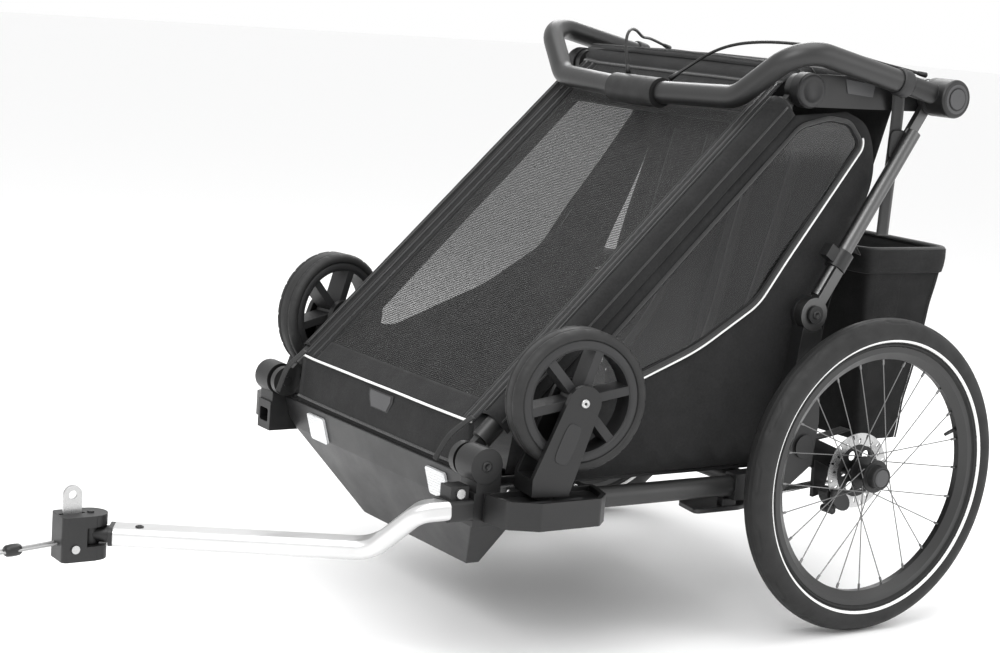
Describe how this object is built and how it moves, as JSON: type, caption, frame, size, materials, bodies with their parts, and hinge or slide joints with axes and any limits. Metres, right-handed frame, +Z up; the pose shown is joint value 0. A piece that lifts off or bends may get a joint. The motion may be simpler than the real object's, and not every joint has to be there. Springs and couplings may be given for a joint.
{
  "type": "child bicycle trailer",
  "caption": "Child bicycle trailer with folding side frames, a mesh-covered cabin, a tow arm and hitch, spoked wheels, stowed stroller wheels and a turning push bar.",
  "frame": {"origin": "on the ground under the middle of the big wheels' axle", "axes": "-Y forward to the hitch, +X to the trailer's left, where the tow arm is, +Z up"},
  "size_m": [0.816, 1.5819, 0.9139],
  "materials": {
    "black_tube": "satin black powder coat",
    "silver_tube": "satin anodised",
    "arm_metal": "satin anodised",
    "black_plastic": "fine moulded grain",
    "keel_plastic": "satin moulded",
    "reflector": "clear prismatic",
    "steel": "satin",
    "button": "satin",
    "tyre": "rubber",
    "rim": "satin black",
    "hub": "black anodised",
    "spoke": "bright",
    "grip": "soft moulded",
    "cable": "smooth black jacket",
    "tether": "coated steel rope",
    "cover_mesh": "fine woven mesh",
    "body_fabric": "coated woven polyester",
    "window": "tinted film",
    "seat_fabric": "padded polyester",
    "bag_fabric": "coarse woven polyester",
    "piping": "retroreflective white piping",
    "webbing": "ribbed webbing"
  },
  "bodies": {
    "chassis": {"side_tubes": "black_tube", "cross_tubes": "black_tube", "floor_pan": "black_plastic", "bumper": "keel_plastic", "reflectors": "reflector", "nose_brackets": "black_plastic", "rear_brackets": "black_plastic", "skids": "keel_plastic", "leaf_springs": "steel", "side_panels": "body_fabric", "side_windows": "window", "back_panel": "body_fabric", "seat_base": "seat_fabric", "seat_back": "seat_fabric", "cargo_bag": "bag_fabric"},
    "front_frame": {"front_tubes": "black_tube", "front_cross_tube": "black_tube", "front_cover": "cover_mesh"},
    "top_arms": {"top_arms": "black_plastic", "roof_panel": "body_fabric"},
    "rear_frame": {"rear_tubes": "silver_tube"},
    "lock_sleeve_left": {"lock_sleeve_left": "black_plastic"},
    "lock_sleeve_right": {"lock_sleeve_right": "black_plastic"},
    "handlebar_hub": {"hub_rings": "black_plastic"},
    "handlebar": {"handlebar": "black_tube", "handlebar_ends": "black_plastic", "brake_cable_left": "cable", "brake_cable_right": "cable"},
    "brake_grip": {"brake_grip": "grip"},
    "tow_arm": {"tow_arm": "arm_metal", "tow_arm_fitting": "black_plastic", "hitch_neck": "black_plastic"},
    "tow_arm_button": {"tow_arm_button": "button"},
    "hitch_head": {"hitch_head": "black_plastic", "tether": "tether"},
    "hitch_plate": {"hitch_plate": "steel"},
    "hitch_button": {"hitch_button": "button"},
    "handlebar_button_left": {"handlebar_button_left": "button"},
    "swing_arm_left": {"swing_arm_left": "black_plastic"},
    "wheel_left": {"tyre_left": "tyre", "rim_left": "rim", "spokes_left": "spoke", "wheel_hub_left": "hub", "brake_disc_left": "steel"},
    "wheel_button_left": {"wheel_button_left": "button"},
    "caster_left": {"caster_fork_left": "black_plastic"},
    "caster_wheel_left": {"caster_tyre_left": "tyre", "caster_rim_left": "black_plastic"},
    "handlebar_button_right": {"handlebar_button_right": "button"},
    "swing_arm_right": {"swing_arm_right": "black_plastic"},
    "wheel_right": {"tyre_right": "tyre", "rim_right": "rim", "spokes_right": "spoke", "wheel_hub_right": "hub", "brake_disc_right": "steel"},
    "wheel_button_right": {"wheel_button_right": "button"},
    "caster_right": {"caster_fork_right": "black_plastic"},
    "caster_wheel_right": {"caster_tyre_right": "tyre", "caster_rim_right": "black_plastic"}
  },
  "joints": [
    {"name": "fold", "type": "hinge", "parent": "chassis", "child": "front_frame", "pos_m": [0, -0.695, 0.3], "axis": [-1, 0, 0], "range_deg": [0, 40], "deforming": ["side_panels", "side_windows", "back_panel", "seat_back", "cargo_bag"]},
    {"name": "top_arm_turn", "type": "hinge", "parent": "front_frame", "child": "top_arms", "pos_m": [0, -0.137, 0.84], "axis": [-1, 0, 0], "range_deg": [-70, 0]},
    {"name": "rear_tube_turn", "type": "hinge", "parent": "chassis", "child": "rear_frame", "pos_m": [0, -0.11, 0.5], "axis": [-1, 0, 0], "range_deg": [0, 60.5]},
    {"name": "hub_turn", "type": "hinge", "parent": "top_arms", "child": "handlebar_hub", "pos_m": [0, 0.11, 0.84], "axis": [-1, 0, 0], "range_deg": [0, 44]},
    {"name": "handlebar_turn", "type": "hinge", "parent": "handlebar_hub", "child": "handlebar", "pos_m": [0, 0.11, 0.84], "axis": [-1, 0, 0], "range_deg": [0, 180]},
    {"name": "brake_twist", "type": "hinge", "parent": "handlebar", "child": "brake_grip", "pos_m": [0, -0.233, 0.813], "axis": [1, 0, 0], "range_deg": [0, 60]},
    {"name": "handlebar_button_left_press", "type": "slide", "parent": "handlebar", "child": "handlebar_button_left", "axis": [-1, 0, 0], "range_m": [0, 0.003], "stiffness_N_per_m": 800, "springref_m": -0.002},
    {"name": "lock_sleeve_left_slide", "type": "slide", "parent": "rear_frame", "child": "lock_sleeve_left", "axis": [0, 0.5433, 0.8396], "range_m": [0, 0.02], "stiffness_N_per_m": 120, "springref_m": -0.02},
    {"name": "suspension_left", "type": "hinge", "parent": "chassis", "child": "swing_arm_left", "pos_m": [0.289, -0.105, 0.292], "axis": [1, 0, 0], "range_deg": [0, 14], "stiffness_Nm_per_rad": 200, "springref_deg": -6.88},
    {"name": "wheel_left_spin", "type": "hinge", "parent": "swing_arm_left", "child": "wheel_left", "pos_m": [0.376, 0, 0.25], "axis": [1, 0, 0], "continuous": true},
    {"name": "wheel_button_left_press", "type": "slide", "parent": "wheel_left", "child": "wheel_button_left", "axis": [-1, 0, 0], "range_m": [0, 0.003], "stiffness_N_per_m": 800, "springref_m": -0.002},
    {"name": "caster_left_swivel", "type": "hinge", "parent": "chassis", "child": "caster_left", "pos_m": [0.351, -0.61, 0.242], "axis": [0, 0, -1], "range_deg": [-15, 30]},
    {"name": "caster_left_spin", "type": "hinge", "parent": "caster_left", "child": "caster_wheel_left", "pos_m": [0.35863, -0.57073, 0.396], "axis": [0.9816, -0.1908, 0], "continuous": true},
    {"name": "handlebar_button_right_press", "type": "slide", "parent": "handlebar", "child": "handlebar_button_right", "axis": [1, 0, 0], "range_m": [0, 0.003], "stiffness_N_per_m": 800, "springref_m": -0.002},
    {"name": "lock_sleeve_right_slide", "type": "slide", "parent": "rear_frame", "child": "lock_sleeve_right", "axis": [0, 0.5433, 0.8396], "range_m": [0, 0.02], "stiffness_N_per_m": 120, "springref_m": -0.02},
    {"name": "suspension_right", "type": "hinge", "parent": "chassis", "child": "swing_arm_right", "pos_m": [-0.289, -0.105, 0.292], "axis": [1, 0, 0], "range_deg": [0, 14], "stiffness_Nm_per_rad": 200, "springref_deg": -6.88},
    {"name": "wheel_right_spin", "type": "hinge", "parent": "swing_arm_right", "child": "wheel_right", "pos_m": [-0.376, 0, 0.25], "axis": [1, 0, 0], "continuous": true},
    {"name": "wheel_button_right_press", "type": "slide", "parent": "wheel_right", "child": "wheel_button_right", "axis": [1, 0, 0], "range_m": [0, 0.003], "stiffness_N_per_m": 800, "springref_m": -0.002},
    {"name": "caster_right_swivel", "type": "hinge", "parent": "chassis", "child": "caster_right", "pos_m": [-0.351, -0.61, 0.242], "axis": [0, 0, 1], "range_deg": [-15, 30]},
    {"name": "caster_right_spin", "type": "hinge", "parent": "caster_right", "child": "caster_wheel_right", "pos_m": [-0.35863, -0.57073, 0.396], "axis": [0.9816, 0.1908, 0], "continuous": true},
    {"name": "arm_slide", "type": "slide", "parent": "chassis", "child": "tow_arm", "axis": [0, -1, 0], "range_m": [0, 0.06]},
    {"name": "tow_arm_button_press", "type": "slide", "parent": "tow_arm", "child": "tow_arm_button", "axis": [-1, 0, 0], "range_m": [0, 0.003], "stiffness_N_per_m": 800, "springref_m": -0.002},
    {"name": "hitch_yaw", "type": "hinge", "parent": "tow_arm", "child": "hitch_head", "pos_m": [0.03273, -1.15329, 0.165], "axis": [0, 0, 1], "range_deg": [-25, 25]},
    {"name": "hitch_pitch", "type": "hinge", "parent": "hitch_head", "child": "hitch_plate", "pos_m": [0.03273, -1.181, 0.182], "axis": [1, 0, 0], "range_deg": [-15, 15]},
    {"name": "hitch_button_press", "type": "slide", "parent": "hitch_head", "child": "hitch_button", "axis": [-1, 0, 0], "range_m": [0, 0.003], "stiffness_N_per_m": 800, "springref_m": -0.002}
  ],
  "couplings": [
    {"joint": "top_arm_turn", "follows": "fold", "ratio": -1.74},
    {"joint": "rear_tube_turn", "follows": "fold", "ratio": 1.509},
    {"joint": "hub_turn", "follows": "fold", "ratio": 1.09}
  ]
}
